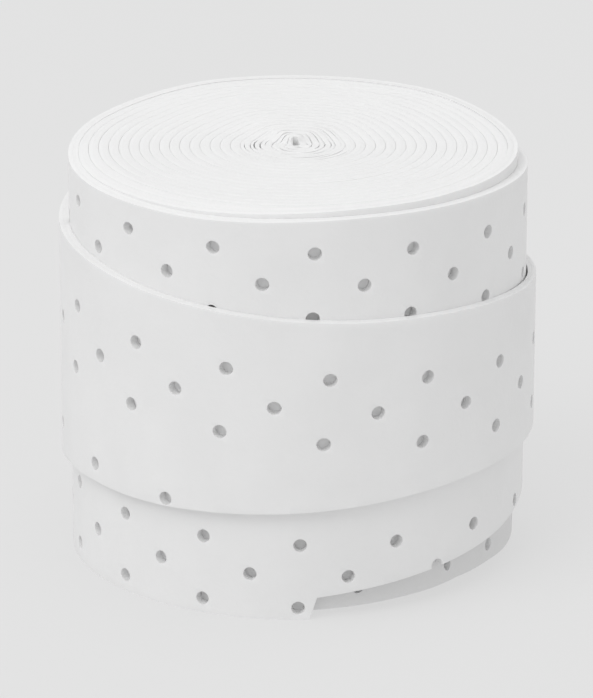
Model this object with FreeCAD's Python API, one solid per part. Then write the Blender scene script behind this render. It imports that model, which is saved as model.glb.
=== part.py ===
import FreeCAD, Part
import math
import os

# A perforated racket grip tape, wound on itself into a roll that stands on its flat end.
# Millimetres. +Z is the roll's axis, the base is at z = 0, and -Y is the front.
# Places along the tape are winding angles in degrees: 0 is the front of the last turn of full
# width, 90 is +X, 180 is the back, and each further turn of 360 lies one layer further out.
# A depth is measured from the tape's outer surface towards the roll's axis.

# Tape and roll
TAPE_WIDTH = 27.3
FACE_THICKNESS = 0.27
BACKING_THICKNESS = 0.27
LAYER_PITCH = 0.66
FRONT_RADIUS = 15.0
HALF_TURN = 180.0
FULL_TURN = 360.0

# Winding angles of the tape's parts
INNER_END = -7740.0
OUTER_START = -400.0
PEEL_LINE = 450.0
CURL_LINE = 476.0
TIP_END = 508.0

# The slanted end: the tape runs slightly downhill as it's wound, and its lower edge is cut away
# on one long slant, after a short step. Each entry is an angle, the lower edge and the upper edge.
STEP_START = 2.9
STEP_END = 4.7
EDGES = (
    (OUTER_START, 0.0, TAPE_WIDTH),
    (-353.6, 0.42, TAPE_WIDTH),
    (-333.0, 0.66, TAPE_WIDTH),
    (-303.5, 1.0, TAPE_WIDTH),
    (-284.0, 0.8, TAPE_WIDTH),
    (-90.0, 0.0, TAPE_WIDTH),
    (STEP_START, 0.0, 26.95),
    (STEP_END, 1.5, 26.95),
    (60.0, 3.2, 26.7),
    (90.0, 4.15, 26.3),
    (270.0, 6.65, 22.7),
    (300.0, 7.05, 22.05),
    (324.0, 7.1, 21.3),
    (360.0, 7.55, 20.4),
    (405.0, 8.45, 19.8),
    (PEEL_LINE, 8.55, 18.85),
    (TIP_END, 8.7, 17.9),
)

# Perforation: groups of three staggered rows. The first row's height and the spacing of its
# holes both drift along the tape, and the lowest group lies a little behind the others.
HOLE_RADIUS = 0.45
ROW_SPACING = 2.15
GROUP_SPACING = 9.8
GROUP_SHIFTS = (0.0, 0.0, -1.25)
ROWS_PER_GROUP = 3
HOLE_MARGIN = 5.0
FIRST_ROW_HEIGHT = (
    (OUTER_START, 25.25),
    (-353.6, 25.65),
    (-333.0, 25.8),
    (-312.0, 26.05),
    (-180.0, 25.5),
    (-90.0, 25.15),
    (-20.0, 24.87),
    (40.0, 24.36),
    (90.0, 23.65),
    (180.0, 21.35),
    (294.0, 18.42),
    (367.0, 16.5),
    (416.0, 15.41),
    (TIP_END, 13.3),
)
HOLE_ANGLE = (
    (-16.0, -393.65),
    (-12.0, -297.25),
    (-4.0, -95.9),
    (2.5, 66.6),
    (12.5, 306.5),
    (17.0, 416.4),
    (21.0, 514.4),
)

# Release film between the turns, and the starter patch under the tip
FILM_THICKNESS = 0.04
FILM_CLEARANCE = 0.04
FILM_INSET = 0.3
FILM_START = INNER_END + FULL_TURN
FILM_END = -450.0
ADHESIVE_THICKNESS = 0.05
LINER_THICKNESS = 0.04
ADHESIVE_INSET = 0.6
LINER_INSET = 0.2
PATCH_MARGIN = 1.5

TAPE_THICKNESS = FACE_THICKNESS + BACKING_THICKNESS
CENTRE_SHIFT = LAYER_PITCH / 4.0


def interpolate(knots, position):
    """Return the value at a position between knots of (position, value)."""
    for (start, first), (end, last) in zip(knots, knots[1:]):
        if position <= end:
            break
    return first + (last - first) * (position - start) / (end - start)


def slope_at(knots, index):
    """Return the slope of the smooth curve through knots, at one of them."""
    start, first = knots[max(index - 1, 0)]
    end, last = knots[min(index + 1, len(knots) - 1)]
    return (last - first) / (end - start)


def smooth(knots, position):
    """Return the value at a position on the smooth curve through knots of (position, value)."""
    index = 0
    while index < len(knots) - 2 and position > knots[index + 1][0]:
        index += 1
    (start, first), (end, last) = knots[index], knots[index + 1]
    span = end - start
    t = min(max((position - start) / span, 0.0), 1.0)
    rise = last - first
    ease_in = slope_at(knots, index) * span - rise
    ease_out = rise - slope_at(knots, index + 1) * span
    return first + rise * t + t * (1.0 - t) * (ease_in * (1.0 - t) + ease_out * t)


def lower_edge(angle):
    return interpolate([(at, low) for at, low, high in EDGES], angle)


def upper_edge(angle):
    return interpolate([(at, high) for at, low, high in EDGES], angle)


def half_turn_start(angle):
    """Return the X axis angle at which the half turn that holds an angle starts."""
    return math.floor((angle + 90.0) / HALF_TURN) * HALF_TURN - 90.0


def half_turn_arc(start, depth):
    """Return the centre's X and the radius of the half turn that starts at an X axis angle."""
    front = round((start + 90.0) / HALF_TURN) % 2 == 0
    centre_x = CENTRE_SHIFT if front else -CENTRE_SHIFT
    radius = FRONT_RADIUS + LAYER_PITCH * start / FULL_TURN + CENTRE_SHIFT - depth
    return centre_x, radius


def tape_point(angle, depth, height, start):
    """Return a point of the tape at an angle, on the half turn that starts at start."""
    centre_x, radius = half_turn_arc(start, depth)
    turn = math.radians(angle)
    return FreeCAD.Vector(centre_x + radius * math.sin(turn), -radius * math.cos(turn), height)


def arc_edge(start, end, depth):
    """Return the arc of one layer between two angles of the same half turn."""
    home = half_turn_start((start + end) / 2.0)
    middle = (start + end) / 2.0
    points = [tape_point(angle, depth, 0.0, home) for angle in (start, middle, end)]
    return Part.Arc(*points).toShape()


def split_angles(start, end):
    """Return the angles from start to end, with every half turn's start between them."""
    angles = [start]
    next_start = half_turn_start(start) + HALF_TURN
    while next_start < end:
        angles.append(next_start)
        next_start += HALF_TURN
    return angles + [end]


def wound_layer(start, end, inner_depth, outer_depth, bottom, top):
    """Return a layer of constant height, wound from one angle to another."""
    angles = split_angles(start, end)
    spans = list(zip(angles, angles[1:]))
    outer = [arc_edge(first, last, outer_depth) for first, last in spans]
    inner = [arc_edge(first, last, inner_depth) for first, last in spans]
    first_home = half_turn_start(angles[0] + 1.0)
    last_home = half_turn_start(angles[-1] - 1.0)
    first_cap = Part.makeLine(
        tape_point(start, inner_depth, 0.0, first_home),
        tape_point(start, outer_depth, 0.0, first_home),
    )
    last_cap = Part.makeLine(
        tape_point(end, outer_depth, 0.0, last_home),
        tape_point(end, inner_depth, 0.0, last_home),
    )
    outline = Part.Wire([first_cap] + outer + [last_cap] + inner[::-1])
    layer = Part.Face(outline).extrude(FreeCAD.Vector(0, 0, top - bottom))
    layer.translate(FreeCAD.Vector(0, 0, bottom))
    return layer


def slanted_edge(first, last, first_height, last_height, depth):
    """Return an edge that climbs evenly round one half turn of a layer."""
    home = half_turn_start((first + last) / 2.0)
    centre_x, radius = half_turn_arc(home, depth)
    surface = Part.Cylinder()
    surface.Center = FreeCAD.Vector(centre_x, 0, 0)
    surface.Radius = radius
    turns_before = math.floor((home - 90.0) / FULL_TURN) * FULL_TURN
    start = math.radians(first - 90.0 - turns_before)
    end = math.radians(last - 90.0 - turns_before)
    line = Part.Geom2d.Line2dSegment(
        FreeCAD.Base.Vector2d(start, first_height),
        FreeCAD.Base.Vector2d(end, last_height),
    )
    return line.toShape(surface)


def end_cap(angle, home, low, high, inner_depth, outer_depth):
    """Return the flat end of a layer."""
    corners = [
        tape_point(angle, inner_depth, low, home),
        tape_point(angle, outer_depth, low, home),
        tape_point(angle, outer_depth, high, home),
        tape_point(angle, inner_depth, high, home),
    ]
    return Part.Face(Part.makePolygon(corners + corners[:1]))


def edged_layer(start, end, inner_depth, outer_depth, inset=0.0):
    """Return a layer between two angles, as high as the tape's own edges less an inset."""
    knots = [at for at, low, high in EDGES if start < at < end]
    angles = sorted(set(split_angles(start, end) + knots))
    faces = []
    for first, last in zip(angles, angles[1:]):
        lows = [lower_edge(first) + inset, lower_edge(last) + inset]
        highs = [upper_edge(first) - inset, upper_edge(last) - inset]
        inner_low, outer_low = [slanted_edge(first, last, *lows, d) for d in (inner_depth, outer_depth)]
        inner_high, outer_high = [slanted_edge(first, last, *highs, d) for d in (inner_depth, outer_depth)]
        faces.append(Part.makeRuledSurface(outer_low, outer_high))
        faces.append(Part.makeRuledSurface(inner_low, inner_high))
        faces.append(Part.makeRuledSurface(inner_low, outer_low))
        faces.append(Part.makeRuledSurface(inner_high, outer_high))
    for angle, nudge in ((start, 1.0), (end, -1.0)):
        home = half_turn_start(angle + nudge)
        low = lower_edge(angle) + inset
        high = upper_edge(angle) - inset
        faces.append(end_cap(angle, home, low, high, inner_depth, outer_depth))
    shell = Part.Shell(faces)
    shell.sewShape()
    solid = Part.Solid(shell)
    if solid.Volume < 0:
        solid.reverse()
    return solid


def row_slope(angle):
    """Return how much the rows climb for each millimetre along the tape."""
    climb = smooth(FIRST_ROW_HEIGHT, angle + 1.0) - smooth(FIRST_ROW_HEIGHT, angle - 1.0)
    return climb / math.radians(2.0) / FRONT_RADIUS


def hole_tool(number, drop, shift):
    """Return the cutter of one hole, at a place in its row and a distance below the first row."""
    row_angle = interpolate(HOLE_ANGLE, number)
    angle = row_angle + math.degrees(row_slope(row_angle) * drop / FRONT_RADIUS) + shift
    height = smooth(FIRST_ROW_HEIGHT, row_angle) - drop
    home = half_turn_start(angle)
    reach = LAYER_PITCH / 2.0
    inner = tape_point(angle, TAPE_THICKNESS + reach, height, home)
    outer = tape_point(angle, -reach, height, home)
    if not lower_edge(angle) - HOLE_RADIUS < height < upper_edge(angle) + HOLE_RADIUS:
        return None
    return Part.makeCylinder(HOLE_RADIUS, (outer - inner).Length, inner, outer - inner)


def hole_tools(start, end):
    """Return the cutters of all the holes that reach between two angles."""
    tools = []
    for group, shift in enumerate(GROUP_SHIFTS):
        for row in range(ROWS_PER_GROUP):
            drop = group * GROUP_SPACING + row * ROW_SPACING
            stagger = 0.5 * ((group + row) % 2)
            number = HOLE_ANGLE[0][0] + 1.0 - stagger
            while number < HOLE_ANGLE[-1][0]:
                if start < interpolate(HOLE_ANGLE, number) < end + HOLE_MARGIN:
                    tools.append(hole_tool(number, drop, shift))
                number += 1.0
    return [tool for tool in tools if tool]


def perforated(layer, start, end):
    """Return a layer with its holes cut through, without the plugs that fall out of them."""
    return max(layer.cut(hole_tools(start, end)).Solids, key=lambda solid: solid.Volume)


def core_face():
    return wound_layer(INNER_END, OUTER_START, FACE_THICKNESS, 0.0, 0.0, TAPE_WIDTH)


def core_backing():
    return wound_layer(INNER_END, OUTER_START, TAPE_THICKNESS, FACE_THICKNESS, 0.0, TAPE_WIDTH)


def release_film():
    inner_depth = -FILM_CLEARANCE
    outer_depth = inner_depth - FILM_THICKNESS
    return wound_layer(
        FILM_START, FILM_END, inner_depth, outer_depth, FILM_INSET, TAPE_WIDTH - FILM_INSET
    )


def face(start, end):
    return perforated(edged_layer(start, end, FACE_THICKNESS, 0.0), start, end)


def backing(start, end):
    return perforated(edged_layer(start, end, TAPE_THICKNESS, FACE_THICKNESS), start, end)


def patch(inner_depth, outer_depth, inset):
    """Return a thin patch under the tip, a margin clear of both its ends."""
    start = CURL_LINE + PATCH_MARGIN
    end = TIP_END - PATCH_MARGIN
    return edged_layer(start, end, inner_depth, outer_depth, inset)


def starter_adhesive():
    return patch(TAPE_THICKNESS + ADHESIVE_THICKNESS, TAPE_THICKNESS, ADHESIVE_INSET)


def adhesive_liner():
    under = TAPE_THICKNESS + ADHESIVE_THICKNESS
    return patch(under + LINER_THICKNESS, under, LINER_INSET)


def tape_length():
    """Return the length of the whole tape along its middle."""
    angles = split_angles(INNER_END, TIP_END)
    return sum(arc_edge(a, b, TAPE_THICKNESS / 2.0).Length for a, b in zip(angles, angles[1:]))


def main():
    os.makedirs("parts", exist_ok=True)
    nodes = {
        "core_face": core_face(),
        "core_backing": core_backing(),
        "release_film": release_film(),
        "outer_face": face(OUTER_START, PEEL_LINE),
        "outer_backing": backing(OUTER_START, PEEL_LINE),
        "lead_face": face(PEEL_LINE, CURL_LINE),
        "lead_backing": backing(PEEL_LINE, CURL_LINE),
        "tip_face": face(CURL_LINE, TIP_END),
        "tip_backing": backing(CURL_LINE, TIP_END),
        "starter_adhesive": starter_adhesive(),
        "adhesive_liner": adhesive_liner(),
    }
    for name, shape in nodes.items():
        shape.exportStep(f"parts/{name}.step")
        print(name, shape.ShapeType, len(shape.Solids), shape.isValid(), round(shape.Volume, 3))
    print("tape length", round(tape_length(), 1), "mm")
    for label, angle, home in (("peel", PEEL_LINE, 270.0), ("curl", CURL_LINE, PEEL_LINE)):
        hinge = tape_point(angle, 0.0, 0.0, home)
        print(label, "hinge", round(hinge.x, 4), round(hinge.y, 4))


main()
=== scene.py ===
"""A racket grip tape wound into a roll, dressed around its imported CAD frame.

The tape is a polyurethane face bonded to a fleece backing. It's wound on itself with a clear film
between the turns, and its free end narrows on one long slant and carries a starter patch. Lengths
are in millimetres and angles in degrees until Winding.place turns them into the frame's metres.
"""

import logging
import math
from collections.abc import Callable
from dataclasses import dataclass, field
from enum import Enum

import bmesh
import bpy
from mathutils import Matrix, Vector, kdtree, noise


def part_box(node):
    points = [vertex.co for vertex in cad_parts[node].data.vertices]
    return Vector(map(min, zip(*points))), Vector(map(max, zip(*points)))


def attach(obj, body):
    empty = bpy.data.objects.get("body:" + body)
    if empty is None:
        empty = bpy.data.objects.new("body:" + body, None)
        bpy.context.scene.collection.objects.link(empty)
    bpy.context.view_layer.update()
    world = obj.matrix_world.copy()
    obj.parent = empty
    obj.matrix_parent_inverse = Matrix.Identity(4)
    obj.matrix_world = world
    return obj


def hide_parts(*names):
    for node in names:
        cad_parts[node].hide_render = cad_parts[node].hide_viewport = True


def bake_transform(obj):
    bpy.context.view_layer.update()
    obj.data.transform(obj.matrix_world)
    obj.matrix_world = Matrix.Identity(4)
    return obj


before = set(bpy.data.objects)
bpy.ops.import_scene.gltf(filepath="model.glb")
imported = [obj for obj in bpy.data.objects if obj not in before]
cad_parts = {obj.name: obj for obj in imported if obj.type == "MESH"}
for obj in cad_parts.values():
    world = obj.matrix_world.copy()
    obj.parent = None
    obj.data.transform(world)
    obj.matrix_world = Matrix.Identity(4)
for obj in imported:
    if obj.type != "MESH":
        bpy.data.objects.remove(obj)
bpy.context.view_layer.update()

MM = 0.001
QUARTER_TURN = 90.0
HALF_TURN = 180.0
FULL_TURN = 360.0
SHARP_ANGLE = 50.0
RIM_ANGLE = 45.0
SEARCH_STEPS = 6
TURNS_BETWEEN_FRONTS = 3.0
# name of the attribute that carries painted shade low on the covered turn
PAINTED_SHADE = "painted_shade"
COLOUR_A = 6
COLOUR_B = 7
COLOUR_MIX = 2
INNER_END = -7740.0
OUTER_FIRST_HOLE = -15.75
Knots = tuple[tuple[float, float], ...]

log = logging.getLogger("grip_tape_roll")


class Body(Enum):
    """The CAD bodies; the core's and the outer turns' pieces ride on the roll."""

    ROLL = "roll"
    LEAD = "lead"
    TIP = "tip"


class Slot(Enum):
    """The record's material slots."""

    POLYURETHANE = "polyurethane"
    BACKING = "non_woven_backing"
    FILM = "clear_film"
    ADHESIVE = "adhesive"
    LINER = "liner_paper"


# ---------------------------------------------------------------- curves


def interpolate(knots: Knots, position: float) -> float:
    """Read a line of straight runs.

    Args:
        knots: The line's points, as position and value.
        position: Where it's read.

    Returns:
        The value there.
    """
    for (start, first), (end, last) in zip(knots, knots[1:]):
        if position <= end:
            break
    return first + (last - first) * (position - start) / (end - start)


def slope_at(knots: Knots, index: int) -> float:
    """Measure the slope of a smooth curve at one of its points.

    Args:
        knots: The curve's points, as position and value.
        index: Which point.

    Returns:
        The slope from the point before it to the point after it.
    """
    start, first = knots[max(index - 1, 0)]
    end, last = knots[min(index + 1, len(knots) - 1)]
    return (last - first) / (end - start)


def smooth(knots: Knots, position: float) -> float:
    """Read a smooth curve.

    Args:
        knots: The curve's points, as position and value.
        position: Where it's read.

    Returns:
        The value there.
    """
    index = 0
    while index < len(knots) - 2 and position > knots[index + 1][0]:
        index += 1
    (start, first), (end, last) = knots[index], knots[index + 1]
    span = end - start
    t = min(max((position - start) / span, 0.0), 1.0)
    rise = last - first
    ease_in = slope_at(knots, index) * span - rise
    ease_out = rise - slope_at(knots, index + 1) * span
    return first + rise * t + t * (1.0 - t) * (ease_in * (1.0 - t) + ease_out * t)


def ease(value: float, start: float, end: float) -> float:
    """Blend from nothing to all of something.

    Args:
        value: Where the blend is read.
        start: Where it begins.
        end: Where it's complete.

    Returns:
        A share from 0 to 1.
    """
    t = min(max((value - start) / (end - start), 0.0), 1.0)
    return t * t * (3.0 - 2.0 * t)


# ---------------------------------------------------------------- the tape's shape


@dataclass(frozen=True)
class Settling:
    """The small unevenness of a soft tape that was wound by machine and then handled.

    The outer rim falls at the left front and rises at the back, the turns sway in and out, their
    upper edges drift up and down, and the innermost turns close the centre.
    """

    rim_fall: float = 0.5
    fall_centre: float = -52.0
    fall_flat: float = 18.75
    fall_reach: float = 75.0
    fall_inner: float = 12.6
    fall_outer: float = 15.1
    fall_depth: float = 2.5
    back_rise: float = 0.45
    rise_centre: float = 172.0
    rise_flat: float = 26.0
    rise_reach: float = 70.0
    rise_depth: float = 6.0
    sway: float = 0.035
    sway_lobes: float = 3.0
    sway_turn: float = 0.4
    sway_climb: float = 4.0
    sway_base: float = 1.0
    edge_drift: float = 0.012
    drift_around: float = 1.3
    drift_per_turn: float = 0.8
    centre_drift: float = 0.05
    centre_ends: tuple[float, float] = (0.8, 3.6)
    closing: float = 0.42
    closing_ends: tuple[float, float] = (0.2, 2.2)
    least_radius: float = 0.05

    def shifted(self, angle: float, radius: float, height: float, width: float) -> tuple[float, float]:
        """Move a point of the even roll to where the handled roll has it.

        Args:
            angle: The winding angle.
            radius: The distance from the axis.
            height: The height above the base.
            width: The tape's full width.

        Returns:
            The new radius and height.
        """
        turn = math.radians(angle)
        upward = ease(height, width - self.fall_depth, width)
        beside = self.angle_between(angle, self.fall_centre)
        share = 1.0 - ease(beside, self.fall_flat, self.fall_reach)
        fall = self.rim_fall * share * ease(radius, self.fall_inner, self.fall_outer) * upward
        behind = self.angle_between(angle, self.rise_centre)
        raised = ease(height, width - self.rise_depth, width)
        rise = self.back_rise * (1.0 - ease(behind, self.rise_flat, self.rise_reach)) * raised
        leaning = math.sin(height / width * self.sway_climb + self.sway_base)
        sway = self.sway * math.sin(self.sway_lobes * turn + self.sway_turn) * leaning
        around = self.drift_around
        place = Vector(
            (math.sin(turn) * around, math.cos(turn) * around, angle / FULL_TURN * self.drift_per_turn)
        )
        inward = 1.0 - ease(radius, *self.centre_ends)
        drift = (self.edge_drift + self.centre_drift * inward) * noise.noise(place) * upward
        closing = self.closing * (1.0 - ease(radius, *self.closing_ends))
        radius = max(radius - closing, self.least_radius * radius)
        return radius + sway * radius / width, height - fall + rise + drift

    @staticmethod
    def angle_between(angle: float, centre: float) -> float:
        """Return how far apart two winding angles lie around the axis, from 0 to 180."""
        return abs((angle - centre + HALF_TURN) % FULL_TURN - HALF_TURN)


@dataclass(frozen=True)
class Winding:
    """The spiral that the tape follows: half turns about two centres, a quarter of a layer apart."""

    front_radius: float
    pitch: float
    width: float
    settling: Settling = field(default_factory=Settling)

    @classmethod
    def from_frame(cls) -> "Winding":
        """Work the spiral out from the CAD nodes' boxes.

        The outer turns reach furthest forward a turn after angle 0, and the core two turns before
        it, so there are three turns between their fronts.

        Returns:
            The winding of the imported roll.
        """
        core_front = -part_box("core_face")[0].y / MM
        outer_front = -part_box("outer_face")[0].y / MM
        pitch = (outer_front - core_front) / TURNS_BETWEEN_FRONTS
        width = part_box("core_face")[1].z / MM
        log.info("turn spacing %.3f mm", pitch)
        return cls(outer_front - pitch, pitch, width)

    def place(self, angle: float, height: float, depth: float) -> Vector:
        """Find a point of the tape.

        Args:
            angle: The winding angle: 0 is the front of the last turn of full width.
            height: The height above the base.
            depth: How far the point lies under the tape's outer surface.

        Returns:
            The point in metres, in the CAD frame.
        """
        half = math.floor((angle + QUARTER_TURN) / HALF_TURN)
        start = half * HALF_TURN - QUARTER_TURN
        shift = self.pitch / 4.0
        centre_x = shift if half % 2 == 0 else -shift
        radius = self.front_radius + self.pitch * start / FULL_TURN + shift - depth
        radius, height = self.settling.shifted(angle, radius, height, self.width)
        turn = math.radians(angle)
        return Vector((centre_x + radius * math.sin(turn), -radius * math.cos(turn), height)) * MM


@dataclass(frozen=True)
class TapeEdges:
    """The tape's lower and upper edge. The lower one steps up and slants away from the rows."""

    step_start: float = 2.9
    step_end: float = 4.7
    before_step: Knots = (
        (-400.0, 0.0), (-353.6, 0.42), (-333.0, 0.66), (-303.5, 1.0), (-284.0, 0.8), (-180.0, 0.35),
        (-90.0, 0.0), (2.9, 0.0),
    )
    after_step: Knots = (
        (4.7, 1.5), (60.0, 3.2), (90.0, 4.15), (180.0, 5.55), (270.0, 6.65), (300.0, 7.05),
        (324.0, 7.1), (360.0, 7.55), (405.0, 8.45), (450.0, 8.55), (515.0, 8.7),
    )
    top: Knots = (
        (-400.0, 27.3), (-90.0, 27.3), (5.0, 26.95), (60.0, 26.7), (90.0, 26.3), (180.0, 24.7),
        (270.0, 22.7), (300.0, 22.05), (324.0, 21.3), (360.0, 20.4), (405.0, 19.8),
        (450.0, 18.85), (515.0, 17.8),
    )

    def lower(self, angle: float) -> float:
        """Return the height of the lower edge."""
        if angle <= self.step_start:
            return smooth(self.before_step, angle)
        if angle >= self.step_end:
            return smooth(self.after_step, angle)
        share = (angle - self.step_start) / (self.step_end - self.step_start)
        return self.before_step[-1][1] + share * (self.after_step[0][1] - self.before_step[-1][1])

    def upper(self, angle: float) -> float:
        """Return the height of the upper edge."""
        return smooth(self.top, angle)


@dataclass(frozen=True)
class Perforation:
    """Groups of three staggered rows of punched holes, numbered along the tape."""

    hole_radius: float = 0.45
    row_spacing: float = 2.15
    group_spacing: float = 9.8
    groups: int = 3
    rows_per_group: int = 3
    cells_per_row: int = 3
    cells_per_gap: int = 8
    hole_spacing: float = 6.42
    columns_per_hole: int = 8
    first_row: Knots = (
        (-400.0, 25.25), (-353.6, 25.65), (-333.0, 25.8), (-312.0, 26.05), (-180.0, 25.5),
        (-90.0, 25.15), (-20.0, 24.87), (40.0, 24.36), (90.0, 23.65), (180.0, 21.35),
        (294.0, 18.42), (367.0, 16.5), (416.0, 15.41), (508.0, 13.3),
    )
    hole_angle: Knots = (
        (-16.0, -393.65), (-12.0, -297.25), (-4.0, -95.9), (2.5, 66.6), (12.5, 306.5),
        (17.0, 416.4), (21.0, 514.4),
    )
    last_group_shift: float = -1.25

    @property
    def row_cells(self) -> int:
        """Return how many cells of the grid lie between the first and last row of a group."""
        return (self.rows_per_group - 1) * self.cells_per_row

    @property
    def rows_depth(self) -> float:
        """Return how far the last row of a group lies below its first row."""
        return (self.rows_per_group - 1) * self.row_spacing

    @property
    def cells_per_group(self) -> int:
        """Return how many cells of the grid one group and its gap take."""
        return self.row_cells + self.cells_per_gap

    def drop(self, line: int) -> float:
        """Return how far a line of the grid lies below the first row."""
        group, step = divmod(line, self.cells_per_group)
        gap_cell = (self.group_spacing - self.rows_depth) / self.cells_per_gap
        depth = step * self.row_spacing / self.cells_per_row
        if step > self.row_cells:
            depth = self.rows_depth + (step - self.row_cells) * gap_cell
        return group * self.group_spacing + depth

    def on_tape(self, number: float, drop: float, radius: float) -> tuple[float, float]:
        """Find where a place among the rows lies on the tape.

        Args:
            number: The place along a row, in holes.
            drop: The distance below the first row.
            radius: The roll's radius.

        Returns:
            The winding angle and the height.
        """
        row_angle = interpolate(self.hole_angle, number)
        first_height = smooth(self.first_row, row_angle)
        climb = smooth(self.first_row, row_angle + 1.0) - smooth(self.first_row, row_angle - 1.0)
        slope = climb / math.radians(2.0) / radius
        last_group = (self.groups - 1) * self.group_spacing
        gap_start = last_group - self.group_spacing + self.rows_depth
        shift = self.last_group_shift * ease(drop, gap_start, last_group)
        return row_angle + math.degrees(slope * drop / radius) + shift, first_height - drop

    def among_rows(self, angle: float, height: float, radius: float) -> tuple[float, float]:
        """Find the place among the rows of a point of the tape.

        Args:
            angle: The winding angle.
            height: The height above the base.
            radius: The roll's radius.

        Returns:
            The place along a row, in holes, and the distance below the first row.
        """
        inverse = tuple((at, number) for number, at in self.hole_angle)
        number = interpolate(inverse, angle)
        for _ in range(SEARCH_STEPS):
            row_angle = interpolate(self.hole_angle, number)
            drop = smooth(self.first_row, row_angle) - height
            found, _ = self.on_tape(number, drop, radius)
            number += interpolate(inverse, angle) - interpolate(inverse, found)
        return number, drop

    def is_hole(self, column: int, line: int) -> bool:
        """Return whether a hole is punched where a column and a line of the grid cross."""
        group, step = divmod(line, self.cells_per_group)
        row, between = divmod(step, self.cells_per_row)
        if between or row >= self.rows_per_group or not 0 <= group < self.groups:
            return False
        stagger = (group + row) % 2 * self.columns_per_hole // 2
        return (column + stagger) % self.columns_per_hole == 0


@dataclass(frozen=True)
class Layer:
    """A layer of the tape, between two depths under the tape's outer surface.

    Loft is how much thicker the layer is where the roll's next turn inwards lets it swell.
    """

    outer_depth: float
    inner_depth: float
    rim: float
    rim_segments: int
    loft: float = 0.0


@dataclass(frozen=True)
class Ends:
    """Whether a stretch of tape starts and ends where the tape was cut."""

    start_cut: bool
    end_cut: bool


class PerforatedStrip:
    """A stretch of the tape, laid out flat along its rows, punched, trimmed and wound.

    The turn that the last one covers has sharp rims and painted shade darkening its lower edges, and
    the backing swells wherever another turn lies under it.
    """

    TOP_LINE = -8
    BOTTOM_LINE = 37
    RIM_POINTS = 4
    TRIM_STEP = 0.5
    LOFT_ENDS = (415.0, 446.0)
    # painted shade: the covered turn darkens low down, where it lies recessed under the turn over it
    SHADE_ENDS = (-275.0, -240.0)
    SHADE_HEIGHTS = (4.0, 8.0)
    COVERED_ENDS = (-404.0, -300.0)
    RIM_REACH = 0.2
    WALL_TILT = 0.35
    WALL_REACH = 0.06
    MERGE = 1e-4

    def __init__(self, winding: Winding, edges: TapeEdges, rows: Perforation) -> None:
        """Keep the shape that the strip follows.

        Args:
            winding: The spiral.
            edges: The tape's edges.
            rows: The holes.
        """
        self.winding = winding
        self.edges = edges
        self.rows = rows

    def flat_point(self, angle: float, height: float) -> Vector:
        """Return the flat layout's point for a point of the tape."""
        number, drop = self.rows.among_rows(angle, height, self.winding.front_radius)
        return Vector((number * self.rows.hole_spacing, -drop, 0.0))

    def sheet(self, first: float, last: float) -> tuple[bmesh.types.BMesh, list[Vector]]:
        """Lay a stretch of tape out as a grid with a vertex at each hole, and punch it.

        Args:
            first: The place along the rows where it starts, in holes.
            last: Where it ends.

        Returns:
            The flat mesh and the centres of its holes.
        """
        rows = self.rows
        first_column = round(first * rows.columns_per_hole)
        columns = round(last * rows.columns_per_hole) - first_column
        lines = self.BOTTOM_LINE - self.TOP_LINE
        mesh = bmesh.new()
        bmesh.ops.create_grid(mesh, x_segments=columns, y_segments=lines, size=0.5)
        centres = []
        for vertex in mesh.verts:
            column = first_column + round((vertex.co.x + 0.5) * columns)
            line = self.TOP_LINE + round((0.5 - vertex.co.y) * lines)
            vertex.co.x = column / rows.columns_per_hole * rows.hole_spacing
            vertex.co.y = -rows.drop(line)
            if rows.is_hole(column, line) and not vertex.is_boundary:
                centres.append(vertex)
        punched = bmesh.ops.bevel(
            mesh, geom=centres, offset=rows.hole_radius, offset_type="OFFSET", segments=1,
            profile=0.5, affect="VERTICES", material=-1,
        )
        return mesh, self.round_holes(mesh, punched["faces"])

    def round_holes(self, mesh: bmesh.types.BMesh, plugs: list[bmesh.types.BMFace]) -> list[Vector]:
        """Take the plugs out of the holes and round their rims.

        Args:
            mesh: The flat mesh.
            plugs: The four-sided faces in the holes.

        Returns:
            The holes' centres.
        """
        rims = [(plug.calc_center_median(), list(plug.edges)) for plug in plugs]
        bmesh.ops.delete(mesh, geom=plugs, context="FACES_ONLY")
        for centre, rim in rims:
            cut = bmesh.ops.bisect_edges(mesh, edges=rim, cuts=self.RIM_POINTS - 1)
            for vertex in cut["geom_split"]:
                if isinstance(vertex, bmesh.types.BMVert):
                    vertex.co = centre + (vertex.co - centre).normalized() * self.rows.hole_radius
        return [centre for centre, _ in rims]

    def trim(self, mesh: bmesh.types.BMesh, first: float, last: float) -> None:
        """Cut the flat mesh along the tape's edges, in short straight cuts.

        Args:
            mesh: The flat mesh.
            first: The place along the rows where it starts, in holes.
            last: Where it ends.
        """
        step_ends = [
            self.flat_point(angle, self.edges.lower(angle)).x
            for angle in (self.edges.step_start, self.edges.step_end)
        ]
        steps = range(math.ceil(first / self.TRIM_STEP), math.floor(last / self.TRIM_STEP) + 1)
        numbers = {first, last} | {step * self.TRIM_STEP for step in steps}
        stops = [number * self.rows.hole_spacing for number in numbers]
        for stop in step_ends:
            geometry = mesh.verts[:] + mesh.edges[:] + mesh.faces[:]
            bmesh.ops.bisect_plane(
                mesh, geom=geometry, dist=self.MERGE,
                plane_co=(stop, 0.0, 0.0), plane_no=(1.0, 0.0, 0.0),
            )
        stops = sorted(stops + [stop for stop in step_ends if min(stops) < stop < max(stops)])
        for edge, outward in ((self.edges.lower, -1.0), (self.edges.upper, 1.0)):
            marks = [self.edge_point(edge, stop) for stop in stops]
            for start, end in zip(marks, marks[1:]):
                self.cut_span(mesh, start, end, outward)

    def edge_point(self, edge: Callable[[float], float], x: float) -> Vector:
        """Find where an edge of the tape crosses a line across the flat layout.

        Args:
            edge: The edge's height at each winding angle.
            x: The line's place.

        Returns:
            The crossing in the flat layout.
        """
        number = x / self.rows.hole_spacing
        angle = interpolate(self.rows.hole_angle, number)
        for _ in range(SEARCH_STEPS):
            drop = smooth(self.rows.first_row, interpolate(self.rows.hole_angle, number)) - edge(angle)
            angle, _ = self.rows.on_tape(number, drop, self.winding.front_radius)
        return Vector((x, -drop, 0.0))

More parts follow.
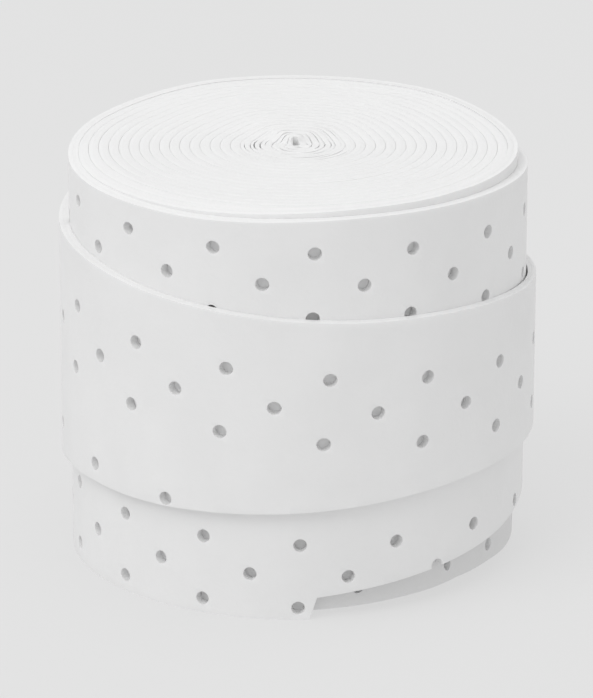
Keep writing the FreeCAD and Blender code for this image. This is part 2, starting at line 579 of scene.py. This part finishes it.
    def cut_span(self, mesh: bmesh.types.BMesh, start: Vector, end: Vector, outward: float) -> None:
        """Trim one span of the flat mesh along a straight line.

        Args:
            mesh: The flat mesh.
            start: The line's start.
            end: The line's end.
            outward: 1 where the waste lies above the line, -1 where it lies below.
        """
        along = end - start
        normal = Vector((-along.y, along.x, 0.0)).normalized() * outward
        faces = [f for f in mesh.faces if start.x < f.calc_center_median().x < end.x]
        parts = set(faces)
        for face in faces:
            parts.update(face.edges)
            parts.update(face.verts)
        cut = bmesh.ops.bisect_plane(
            mesh, geom=list(parts), dist=self.MERGE, plane_co=start, plane_no=normal
        )
        kept = [f for f in cut["geom"] if isinstance(f, bmesh.types.BMFace)]
        waste = [f for f in kept if (f.calc_center_median() - start).dot(normal) > 0.0]
        bmesh.ops.delete(mesh, geom=waste, context="FACES")

    def thicken(self, mesh: bmesh.types.BMesh, layer: Layer, ends: Ends) -> None:
        """Give the flat sheet a layer's thickness and round its outer rims.

        Args:
            mesh: The flat mesh.
            layer: The layer that it becomes.
            ends: Which ends are cut ends of the tape, with rims of their own.
        """
        bmesh.ops.translate(mesh, verts=mesh.verts, vec=(0.0, 0.0, -layer.outer_depth))
        grown = bmesh.ops.extrude_face_region(mesh, geom=mesh.faces[:], use_keep_orig=True)
        inner = [part for part in grown["geom"] if isinstance(part, bmesh.types.BMVert)]
        bmesh.ops.translate(mesh, verts=inner, vec=(0.0, 0.0, layer.outer_depth - layer.inner_depth))
        bmesh.ops.recalc_face_normals(mesh, faces=mesh.faces[:])
        left = min(vertex.co.x for vertex in mesh.verts)
        right = max(vertex.co.x for vertex in mesh.verts)
        rims = []
        for edge in mesh.edges:
            flat = all(abs(vertex.co.z + layer.outer_depth) < self.MERGE for vertex in edge.verts)
            at_left = all(abs(vertex.co.x - left) < self.MERGE for vertex in edge.verts)
            at_right = all(abs(vertex.co.x - right) < self.MERGE for vertex in edge.verts)
            joined = at_left and not ends.start_cut or at_right and not ends.end_cut
            if flat and not joined and edge.calc_face_angle(0.0) > math.radians(RIM_ANGLE):
                rims.append(edge)
        bmesh.ops.bevel(
            mesh, geom=rims, offset=layer.rim, offset_type="OFFSET", segments=layer.rim_segments,
            profile=0.5, affect="EDGES", clamp_overlap=True, material=-1,
        )

    def mark_walls(self, mesh: bmesh.types.BMesh, centres: list[Vector]) -> None:
        """Give the punched walls of the holes the second finish.

        Args:
            mesh: The thick flat mesh.
            centres: The holes' centres in the flat layout.
        """
        tree = kdtree.KDTree(len(centres))
        for number, centre in enumerate(centres):
            tree.insert(centre, number)
        tree.balance()
        reach = self.rows.hole_radius + self.WALL_REACH
        for face in mesh.faces:
            middle = face.calc_center_median()
            middle.z = 0.0
            _, _, distance = tree.find(middle)
            if abs(face.normal.z) < self.WALL_TILT and distance < reach:
                face.material_index = 1

    def wind(self, mesh: bmesh.types.BMesh, layer: Layer) -> None:
        """Wind a flat mesh onto the roll.

        Args:
            mesh: The flat mesh.
            layer: The layer that it is.
        """
        spacing = self.rows.hole_spacing
        radius = self.winding.front_radius
        painted_shade = mesh.verts.layers.float.new(PAINTED_SHADE)
        for vertex in mesh.verts:
            angle, height = self.rows.on_tape(vertex.co.x / spacing, -vertex.co.y, radius)
            # painted shade: darkest low on the covered turn, fading out towards its end
            low = 1.0 - ease(height, *self.SHADE_HEIGHTS)
            vertex[painted_shade] = low * (1.0 - ease(angle, *self.SHADE_ENDS))
            depth = -vertex.co.z
            share = (depth - layer.outer_depth) / (layer.inner_depth - layer.outer_depth)
            swell = layer.loft * share * (1.0 - ease(angle, *self.LOFT_ENDS))
            top = self.edges.upper(angle)
            sunk = depth - layer.outer_depth
            if angle < self.COVERED_ENDS[1] and top - height < self.RIM_REACH and sunk < self.RIM_REACH:
                roundness = ease(angle, *self.COVERED_ENDS)
                height = top + (height - top) * roundness
                depth = layer.outer_depth + sunk * roundness
            vertex.co = self.winding.place(angle, height, swell + depth)

    def build(self, first: float, last: float, layer: Layer, ends: Ends) -> bmesh.types.BMesh:
        """Make one layer of a stretch of the tape.

        Args:
            first: The place along the rows where it starts, in holes.
            last: Where it ends.
            layer: The layer.
            ends: Which ends are cut ends of the tape.

        Returns:
            The wound mesh.
        """
        mesh, centres = self.sheet(first, last)
        self.trim(mesh, first, last)
        self.thicken(mesh, layer, ends)
        self.mark_walls(mesh, centres)
        self.wind(mesh, layer)
        return mesh


# ---------------------------------------------------------------- finishes


def linear(colour: str) -> tuple[float, float, float, float]:
    """Turn an sRGB colour into the linear one that shaders take.

    Args:
        colour: Six hex digits after a #.

    Returns:
        Red, green, blue and an opaque alpha.
    """
    shares = [int(colour[at:at + 2], 16) / 255.0 for at in (1, 3, 5)]
    red, green, blue = [c / 12.92 if c <= 0.04045 else ((c + 0.055) / 1.055) ** 2.4 for c in shares]
    return red, green, blue, 1.0


def per_metre(size: float) -> float:
    """Return a texture's scale for a pattern whose cells are that many millimetres wide."""
    return 1.0 / (size * MM)


def add_node(
    tree: bpy.types.NodeTree, kind: str, settings: dict[str | int, object] | None = None,
    links: dict[str | int, bpy.types.NodeSocket] | None = None,
) -> bpy.types.Node:
    """Add a shader node.

    Args:
        tree: The tree that it joins.
        kind: The node's type.
        settings: Values of its properties and of its input sockets, by name or number.
        links: The output sockets that its input sockets read, by name or number.

    Returns:
        The node.
    """
    node = tree.nodes.new(kind)
    for name, value in (settings or {}).items():
        if isinstance(name, int) or name in node.inputs:
            node.inputs[name].default_value = value
        else:
            setattr(node, name, value)
    for name, socket in (links or {}).items():
        tree.links.new(socket, node.inputs[name])
    return node


def new_material(name: str) -> tuple[bpy.types.Material, bpy.types.NodeTree]:
    """Start a material.

    Args:
        name: Its name.

    Returns:
        The material and its empty node tree.
    """
    material = bpy.data.materials.new(name)
    material.use_nodes = True
    material.node_tree.nodes.clear()
    return material, material.node_tree


@dataclass(frozen=True)
class Polyurethane:
    """Foamed polyurethane, coagulated on the fleece and embossed.

    It gives the eye a soft matt white with a fine leathery grain. It scatters a little light under
    its skin, so that its rims look bright. It has random duller patches, and painted shade darkens it
    low on the turn that the last one covers, where that turn lies recessed.
    """

    name: str = "white_polyurethane"
    colour: str = "#EDEDED"
    handled: str = "#E3E3E3"
    # painted shade colour for the recessed lower part of the covered turn
    painted_shade_tone: str = "#D8D8D8"
    roughness: float = 0.52
    grain: float = 0.35
    pores: float = 0.7
    patches: float = 5.0
    grain_height: float = 0.02
    glow_depth: float = 0.5

    def material(self) -> bpy.types.Material:
        """Return the finish as a node material."""
        material, tree = new_material(self.name)
        place = add_node(tree, "ShaderNodeTexCoord").outputs["Object"]
        patches = add_node(
            tree, "ShaderNodeTexNoise",
            {"Scale": per_metre(self.patches), "Detail": 4.0, "Roughness": 0.55}, {"Vector": place},
        )
        tone = add_node(
            tree, "ShaderNodeMix",
            {"data_type": "RGBA", COLOUR_A: linear(self.colour), COLOUR_B: linear(self.handled)},
            {"Factor": patches.outputs["Fac"]},
        )
        # painted shade: this attribute darkens the colour low on the covered turn
        painted_shade = add_node(tree, "ShaderNodeAttribute", {"attribute_name": PAINTED_SHADE})
        painted_shade_mix = add_node(
            tree, "ShaderNodeMix", {"data_type": "RGBA", COLOUR_B: linear(self.painted_shade_tone)},
            {"Factor": painted_shade.outputs["Fac"], COLOUR_A: tone.outputs[COLOUR_MIX]},
        )
        grain = add_node(
            tree, "ShaderNodeTexNoise",
            {"Scale": per_metre(self.grain), "Detail": 3.0, "Roughness": 0.6}, {"Vector": place},
        )
        pores = add_node(
            tree, "ShaderNodeTexVoronoi",
            {"Scale": per_metre(self.pores), "Randomness": 1.0}, {"Vector": place},
        )
        pitted = add_node(
            tree, "ShaderNodeMapRange",
            {"From Min": 0.0, "From Max": 0.25, "To Min": -0.5, "To Max": 0.0},
            {"Value": pores.outputs["Distance"]},
        )
        relief = add_node(
            tree, "ShaderNodeMath", {"operation": "ADD"},
            {0: grain.outputs["Fac"], 1: pitted.outputs["Result"]},
        )
        bump = add_node(
            tree, "ShaderNodeBump", {"Strength": 0.5, "Distance": self.grain_height * MM},
            {"Height": relief.outputs["Value"]},
        )
        shader = add_node(
            tree, "ShaderNodeBsdfPrincipled",
            {
                "Roughness": self.roughness, "IOR": 1.5, "Subsurface Weight": 0.1,
                "Subsurface Radius": (1.0, 0.97, 0.94), "Subsurface Scale": self.glow_depth * MM,
            },
            {"Base Color": painted_shade_mix.outputs[COLOUR_MIX], "Normal": bump.outputs["Normal"]},
        )
        add_node(tree, "ShaderNodeOutputMaterial", {}, {"Surface": shader.outputs["BSDF"]})
        return material


@dataclass(frozen=True)
class Fleece:
    """Non-woven polyester fleece, entangled and heat-set, or the same stuff seen where it's punched.

    It gives the eye a dull white with short fibres that lie in all directions.
    """

    name: str = "white_fleece"
    colour: str = "#ECECEC"
    shaded: str = "#DFDFDF"
    roughness: float = 0.85
    fibre: float = 0.12
    fibre_length: float = 1.1
    fibre_height: float = 0.05
    lays: tuple[tuple[float, float], ...] = ((0.0, 0.5), (70.0, -0.4))

    def material(self) -> bpy.types.Material:
        """Return the finish as a node material."""
        material, tree = new_material(self.name)
        place = add_node(tree, "ShaderNodeTexCoord").outputs["Object"]
        stretch = self.fibre_length / self.fibre
        heights = []
        for turn, tilt in self.lays:
            laid = add_node(
                tree, "ShaderNodeMapping",
                {
                    "Rotation": (tilt, math.radians(turn), math.radians(turn)),
                    "Scale": (1.0, 1.0, 1.0 / stretch),
                },
                {"Vector": place},
            )
            fibres = add_node(
                tree, "ShaderNodeTexNoise",
                {"Scale": per_metre(self.fibre), "Detail": 2.0, "Distortion": 0.6},
                {"Vector": laid.outputs["Vector"]},
            )
            heights.append(fibres.outputs["Fac"])
        web = add_node(
            tree, "ShaderNodeMath", {"operation": "MAXIMUM"}, {0: heights[0], 1: heights[1]}
        )
        tone = add_node(
            tree, "ShaderNodeMix",
            {"data_type": "RGBA", COLOUR_A: linear(self.shaded), COLOUR_B: linear(self.colour)},
            {"Factor": web.outputs["Value"]},
        )
        bump = add_node(
            tree, "ShaderNodeBump", {"Strength": 0.6, "Distance": self.fibre_height * MM},
            {"Height": web.outputs["Value"]},
        )
        shader = add_node(
            tree, "ShaderNodeBsdfPrincipled",
            {"Roughness": self.roughness, "IOR": 1.5, "Sheen Weight": 0.1},
            {"Base Color": tone.outputs[COLOUR_MIX], "Normal": bump.outputs["Normal"]},
        )
        add_node(tree, "ShaderNodeOutputMaterial", {}, {"Surface": shader.outputs["BSDF"]})
        return material


@dataclass(frozen=True)
class ThinSheet:
    """A smooth thin sheet: release film, adhesive or liner paper.

    Film gives the eye a faint clear gloss, adhesive a tacky yellowish one, and paper a smooth
    dull surface with a trace of its pulp.
    """

    name: str
    colour: str
    mottle: str
    roughness: float
    ior: float
    grain: float
    grain_height: float
    opacity: float = 1.0

    def material(self) -> bpy.types.Material:
        """Return the finish as a node material."""
        material, tree = new_material(self.name)
        place = add_node(tree, "ShaderNodeTexCoord").outputs["Object"]
        cloud = add_node(
            tree, "ShaderNodeTexNoise",
            {"Scale": per_metre(self.grain), "Detail": 4.0, "Roughness": 0.6}, {"Vector": place},
        )
        tone = add_node(
            tree, "ShaderNodeMix",
            {"data_type": "RGBA", COLOUR_A: linear(self.colour), COLOUR_B: linear(self.mottle)},
            {"Factor": cloud.outputs["Fac"]},
        )
        bump = add_node(
            tree, "ShaderNodeBump", {"Strength": 0.4, "Distance": self.grain_height * MM},
            {"Height": cloud.outputs["Fac"]},
        )
        shader = add_node(
            tree, "ShaderNodeBsdfPrincipled",
            {"Roughness": self.roughness, "IOR": self.ior, "Alpha": self.opacity},
            {"Base Color": tone.outputs[COLOUR_MIX], "Normal": bump.outputs["Normal"]},
        )
        add_node(tree, "ShaderNodeOutputMaterial", {}, {"Surface": shader.outputs["BSDF"]})
        return material


@dataclass(frozen=True)
class StudioFloor:
    """Matt acrylic, lit evenly from under it.

    It gives the eye one plain pale tone, almost without shadows.
    """

    name: str = "pale_studio_floor"
    colour: str = "#7C7C7C"
    glow: float = 0.55

    def material(self) -> bpy.types.Material:
        """Return the finish as a node material."""
        material, tree = new_material(self.name)
        shader = add_node(
            tree, "ShaderNodeBsdfPrincipled",
            {
                "Base Color": linear(self.colour), "Roughness": 0.9, "Specular IOR Level": 0.0,
                "Emission Color": linear("#FFFFFF"), "Emission Strength": self.glow,
            },
        )
        add_node(tree, "ShaderNodeOutputMaterial", {}, {"Surface": shader.outputs["BSDF"]})
        return material


# ---------------------------------------------------------------- pieces


def finished_piece(
    name: str, mesh: bmesh.types.BMesh, materials: list[bpy.types.Material],
    replaced: str,
) -> bpy.types.Object:
    """Turn a finished mesh into a piece that stands for a CAD node.

    Args:
        name: The piece's name.
        mesh: Its mesh, which is freed.
        materials: Its finishes.
        replaced: The CAD node.

    Returns:
        The piece.
    """
    data = bpy.data.meshes.new(name)
    mesh.to_mesh(data)
    mesh.free()
    for material in materials:
        data.materials.append(material)
    data.shade_smooth()
    data.set_sharp_from_angle(angle=math.radians(SHARP_ANGLE))
    piece = bpy.data.objects.new(name, data)
    bpy.context.scene.collection.objects.link(piece)
    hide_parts(replaced)
    log.info("%s: %d faces, for %s", name, len(data.polygons), replaced)
    return piece


@dataclass
class WoundCore:
    """The inner turns, which run as one band from the centre to where the outer turns begin."""

    winding: Winding
    start: float
    end: float
    face: Layer = Layer(0.0, 0.27, 0.018, 2)
    backing: Layer = Layer(0.27, 0.65, 0.018, 2)
    film: Layer = Layer(-0.008, -0.002, 0.001, 1)
    film_inset: float = 0.3
    film_start: float = 360.0
    film_end: float = -450.0
    segment: float = 3.0
    slack: float = 0.09
    slack_length: float = 55.0
    slack_levels: tuple[float, float] = (-0.1, 0.3)
    slack_ends: tuple[float, float] = (900.0, 2300.0)
    bottom_lift: Knots = (
        (0.0, 0.35), (6.4, 0.42), (27.0, 0.66), (56.5, 1.0), (76.0, 0.8), (180.0, 0.3), (270.0, 0.0),
        (320.0, 0.0), (360.0, 0.35),
    )

    def band(
        self, start: float, end: float, layer: Layer, bottom: float, top: float
    ) -> bmesh.types.BMesh:
        """Wind a band of constant height with rounded long edges.

        Args:
            start: The winding angle where it starts.
            end: Where it ends.
            layer: The layer that it is.
            bottom: The height of its lower edge.
            top: The height of its upper edge.

        Returns:
            The wound mesh.
        """
        mesh = bmesh.new()
        bmesh.ops.create_cube(mesh, size=1.0)
        thickness = layer.inner_depth - layer.outer_depth
        bmesh.ops.scale(mesh, verts=mesh.verts, vec=(end - start, top - bottom, thickness))
        middle_depth = (layer.inner_depth + layer.outer_depth) / 2.0
        middle = ((start + end) / 2.0, (bottom + top) / 2.0, -middle_depth)
        bmesh.ops.translate(mesh, verts=mesh.verts, vec=middle)
        outer = layer.outer_depth <= 0.0
        rims = []
        for edge in self.lengthwise(mesh):
            if (edge.verts[0].co.z > middle[2]) == outer:
                rims.append(edge)
        bmesh.ops.bevel(
            mesh, geom=rims, offset=layer.rim, offset_type="OFFSET", segments=layer.rim_segments,
            profile=0.5, affect="EDGES", clamp_overlap=True, material=-1,
        )
        cuts = round((end - start) / self.segment) - 1
        bmesh.ops.subdivide_edges(mesh, edges=self.lengthwise(mesh), cuts=cuts, use_grid_fill=True)
        for vertex in mesh.verts:
            angle, height, outward = vertex.co
            if height < middle[1]:
                height += max(smooth(self.bottom_lift, angle % FULL_TURN), 0.0)
            if -outward > layer.inner_depth - self.slack:
                outward += self.slack * self.looseness(angle)
            vertex.co = self.winding.place(angle, height, -outward)
        return mesh

    def looseness(self, angle: float) -> float:
        """Return how loosely the turns lie at a winding angle, from 0 to 1."""
        around = Vector((angle / self.slack_length, 0.0, 0.0))
        patchy = ease(noise.noise(around), *self.slack_levels)
        return patchy * (1.0 - ease(angle - self.start, *self.slack_ends))

    def lengthwise(self, mesh: bmesh.types.BMesh) -> list[bmesh.types.BMEdge]:
        """Return the edges that run along the band."""
        found = []
        for edge in mesh.edges:
            along = edge.verts[1].co - edge.verts[0].co
            if abs(along.x) > 1.0:
                found.append(edge)
        return found

    def build(
        self, face: bpy.types.Material, fleece: bpy.types.Material, film: bpy.types.Material
    ) -> None:
        """Build and dress the core's layers.

        Args:
            face: The face's finish.
            fleece: The backing's finish.
            film: The release film's finish.
        """
        width = self.winding.width
        inset = self.film_inset
        film_start = self.start + self.film_start
        face_mesh = self.band(self.start, self.end, self.face, 0.0, width)
        backing_mesh = self.band(self.start, self.end, self.backing, 0.0, width)
        film_mesh = self.band(film_start, self.film_end, self.film, inset, width - inset)
        for name, mesh, finish, slot, node in (
            ("core_tape_face", face_mesh, face, Slot.POLYURETHANE, "core_face"),
            ("core_tape_backing", backing_mesh, fleece, Slot.BACKING, "core_backing"),
            ("core_film", film_mesh, film, Slot.FILM, "release_film"),
        ):
            piece = finished_piece(name, mesh, [finish], node)
            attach(piece, Body.ROLL.value)


@dataclass
class OuterTape:
    """The last 2.5 turns: perforated, slanted towards the free end, and cut into stretches where it
    peels.
    """

    strip: PerforatedStrip
    start: float
    peel: float = 18.375
    curl: float = 19.375
    end: float = 20.75
    face: Layer = Layer(0.0, 0.27, 0.15, 3)
    backing: Layer = Layer(0.27, 0.54, 0.01, 1, loft=0.115)
    peel_zone: tuple[float, float] = (452.0, 472.5)
    curl_zone: tuple[float, float] = (476.5, 494.0)

    def stretch(
        self, name: str, first: float, last: float, ends: Ends, node: str,
        face: bpy.types.Material, fleece: bpy.types.Material, punched: bpy.types.Material,
    ) -> list[bpy.types.Object]:
        """Build the face and the backing of one stretch.

        Args:
            name: The stretch's name.
            first: The place along the rows where it starts, in holes.
            last: Where it ends.
            ends: Which ends are cut ends of the tape.
            node: How the names of its CAD nodes start.
            face: The face's finish.
            fleece: The backing's finish.
            punched: The finish of the holes' walls.

        Returns:
            The two pieces.
        """
        face_mesh = self.strip.build(first, last, self.face, ends)
        backing_mesh = self.strip.build(first, last, self.backing, ends)
        return [
            finished_piece(
                name + "_tape_face", face_mesh, [face, punched], node + "_face"
            ),
            finished_piece(
                name + "_tape_backing", backing_mesh, [fleece, punched], node + "_backing"
            ),
        ]

    def zone(self, angles: tuple[float, float]) -> dict[str, Vector]:
        """Return the start and end points of the stretch that bends between two angles."""
        start, end = [self.strip.winding.place(angle, 0.0, 0.0) for angle in angles]
        return {"start": start, "end": end}

    def build(
        self, face: bpy.types.Material, fleece: bpy.types.Material, punched: bpy.types.Material
    ) -> None:
        """Build and dress the outer turns and the free end.

        Args:
            face: The face's finish.
            fleece: The backing's finish.
            punched: The finish of the holes' walls.
        """
        finishes = (face, fleece, punched)
        middle = Ends(start_cut=False, end_cut=False)
        tip = Ends(start_cut=False, end_cut=True)
        for piece in self.stretch("outer", self.start, self.peel, middle, "outer", *finishes):
            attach(piece, Body.ROLL.value)
        for piece in self.stretch("lead", self.peel, self.curl, middle, "lead", *finishes):
            self.zone(self.peel_zone)
            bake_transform(piece)
        for piece in self.stretch("tip", self.curl, self.end, tip, "tip", *finishes):
            self.zone(self.curl_zone)
            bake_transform(piece)


@dataclass
class StarterPatch:
    """The adhesive on the back of the tip, under its release liner."""

    outer: OuterTape
    start: float = 477.5
    end: float = 506.5
    adhesive: Layer = Layer(0.545, 0.59, 0.012, 2)
    liner: Layer = Layer(0.592, 0.632, 0.012, 2)
    adhesive_inset: float = 0.6
    liner_inset: float = 0.2
    columns: int = 24
    lines: int = 8

    def sheet(self, layer: Layer, inset: float) -> bmesh.types.BMesh:
        """Make a thin layer between the tape's edges.

        Args:
            layer: The layer.
            inset: How far it keeps from the edges.

        Returns:
            The wound mesh.
        """
        strip = self.outer.strip
        mesh = bmesh.new()
        bmesh.ops.create_grid(mesh, x_segments=self.columns, y_segments=self.lines, size=0.5)
        for vertex in mesh.verts:
            angle = self.start + (vertex.co.x + 0.5) * (self.end - self.start)
            low = strip.edges.lower(angle) + inset
            high = strip.edges.upper(angle) - inset
            height = low + (vertex.co.y + 0.5) * (high - low)
            vertex.co = strip.flat_point(angle, height)
        strip.thicken(mesh, layer, Ends(start_cut=True, end_cut=True))
        strip.wind(mesh, layer)
        return mesh

    def build(self, adhesive: bpy.types.Material, liner: bpy.types.Material) -> None:
        """Build and dress the patch.

        Args:
            adhesive: The adhesive's finish.
            liner: The liner's finish.
        """
        layers = (
            (
                "starter_patch", self.adhesive, self.adhesive_inset, adhesive, Slot.ADHESIVE,
                "starter_adhesive",
            ),
            ("starter_liner", self.liner, self.liner_inset, liner, Slot.LINER, "adhesive_liner"),
        )
        for name, layer, inset, finish, slot, node in layers:
            piece = finished_piece(name, self.sheet(layer, inset), [finish], node)
            self.outer.zone(self.outer.curl_zone)
            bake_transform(piece)


# ---------------------------------------------------------------- studio


@dataclass(frozen=True)
class Studio:
    """A plain pale floor, soft light from all round and from the upper left, and the camera."""

    floor_size: float = 4.0
    sky: float = 0.81
    key_power: float = 5.0
    key_size: float = 0.9
    key_place: tuple[float, float, float] = (-0.57, -0.57, 1.05)
    top_power: float = 1.2
    top_size: float = 0.6
    top_place: tuple[float, float, float] = (0.05, 0.1, 1.2)
    camera_distance: float = 0.34
    camera_elevation: float = 19.2
    aim: tuple[float, float, float] = (0.00008, 0.0, 0.0132)
    lens: float = 265.0

    def floor(self) -> None:
        """Lay the floor."""
        mesh = bmesh.new()
        bmesh.ops.create_grid(mesh, x_segments=4, y_segments=4, size=self.floor_size / 2.0)
        data = bpy.data.meshes.new("studio_floor")
        mesh.to_mesh(data)
        mesh.free()
        data.materials.append(StudioFloor().material())
        floor = bpy.data.objects.new("studio_floor", data)
        bpy.context.scene.collection.objects.link(floor)

    def lights(self) -> None:
        """Light the world evenly and hang the two softboxes."""
        world = bpy.data.worlds.new("studio")
        bpy.context.scene.world = world
        world.use_nodes = True
        tree = world.node_tree
        tree.nodes.clear()
        sky = add_node(
            tree, "ShaderNodeBackground", {"Color": linear("#FFFFFF"), "Strength": self.sky}
        )
        add_node(tree, "ShaderNodeOutputWorld", {}, {"Surface": sky.outputs["Background"]})
        self.softbox("key_softbox", self.key_power, self.key_size, Vector(self.key_place))
        self.softbox("top_softbox", self.top_power, self.top_size, Vector(self.top_place))

    def softbox(self, name: str, power: float, size: float, place: Vector) -> None:
        """Hang a square softbox that points at the roll.

        Args:
            name: Its name.
            power: Its power in watts.
            size: Its side in metres.
            place: Where its middle hangs.
        """
        data = bpy.data.lights.new(name, "AREA")
        data.energy = power
        data.size = size
        light = bpy.data.objects.new(name, data)
        light.location = place
        light.rotation_euler = (-place).to_track_quat("-Z", "Y").to_euler()
        bpy.context.scene.collection.objects.link(light)

    def camera(self) -> None:
        """Set the camera up in front of the roll, above it."""
        data = bpy.data.cameras.new("camera")
        data.lens = self.lens
        data.sensor_width = 36.0
        data.clip_start = 0.01
        data.clip_end = 10.0
        camera = bpy.data.objects.new("camera", data)
        tilt = math.radians(self.camera_elevation)
        back = Vector((0.0, -math.cos(tilt), math.sin(tilt)))
        camera.location = Vector(self.aim) + back * self.camera_distance
        camera.rotation_euler = (-back).to_track_quat("-Z", "Y").to_euler()
        bpy.context.scene.collection.objects.link(camera)
        bpy.context.scene.camera = camera

    def build(self) -> None:
        """Set the studio up, with a plain view transform so that whites stay where they're set."""
        self.floor()
        self.lights()
        self.camera()
        bpy.context.scene.view_settings.view_transform = "Standard"


def main() -> None:
    """Build the roll's pieces from the centre outwards, then the studio around it."""
    logging.basicConfig(level=logging.INFO, format="%(message)s")
    winding = Winding.from_frame()
    rows = Perforation()
    strip = PerforatedStrip(winding, TapeEdges(), rows)
    face = Polyurethane().material()
    fleece = Fleece().material()
    punched = Fleece("punched_fleece", "#EEEEEE", "#DDDDDD").material()
    film = ThinSheet(
        "clear_film", "#F4F6F8", "#E9ECEF",
        roughness=0.12, ior=1.5, grain=3.0, grain_height=0.004, opacity=0.25,
    ).material()
    adhesive = ThinSheet(
        "tacky_adhesive", "#E4DEC4", "#D9D1B0",
        roughness=0.3, ior=1.47, grain=0.8, grain_height=0.02, opacity=0.9,
    ).material()
    liner = ThinSheet(
        "liner_paper", "#EDE7D6", "#E2DAC4",
        roughness=0.45, ior=1.5, grain=0.4, grain_height=0.01,
    ).material()
    join, _ = rows.on_tape(OUTER_FIRST_HOLE, 0.0, winding.front_radius)
    WoundCore(winding, INNER_END, join).build(face, fleece, film)
    outer = OuterTape(strip, OUTER_FIRST_HOLE)
    outer.build(face, fleece, punched)
    StarterPatch(outer).build(adhesive, liner)
    Studio().build()


if __name__ == "__main__":
    main()
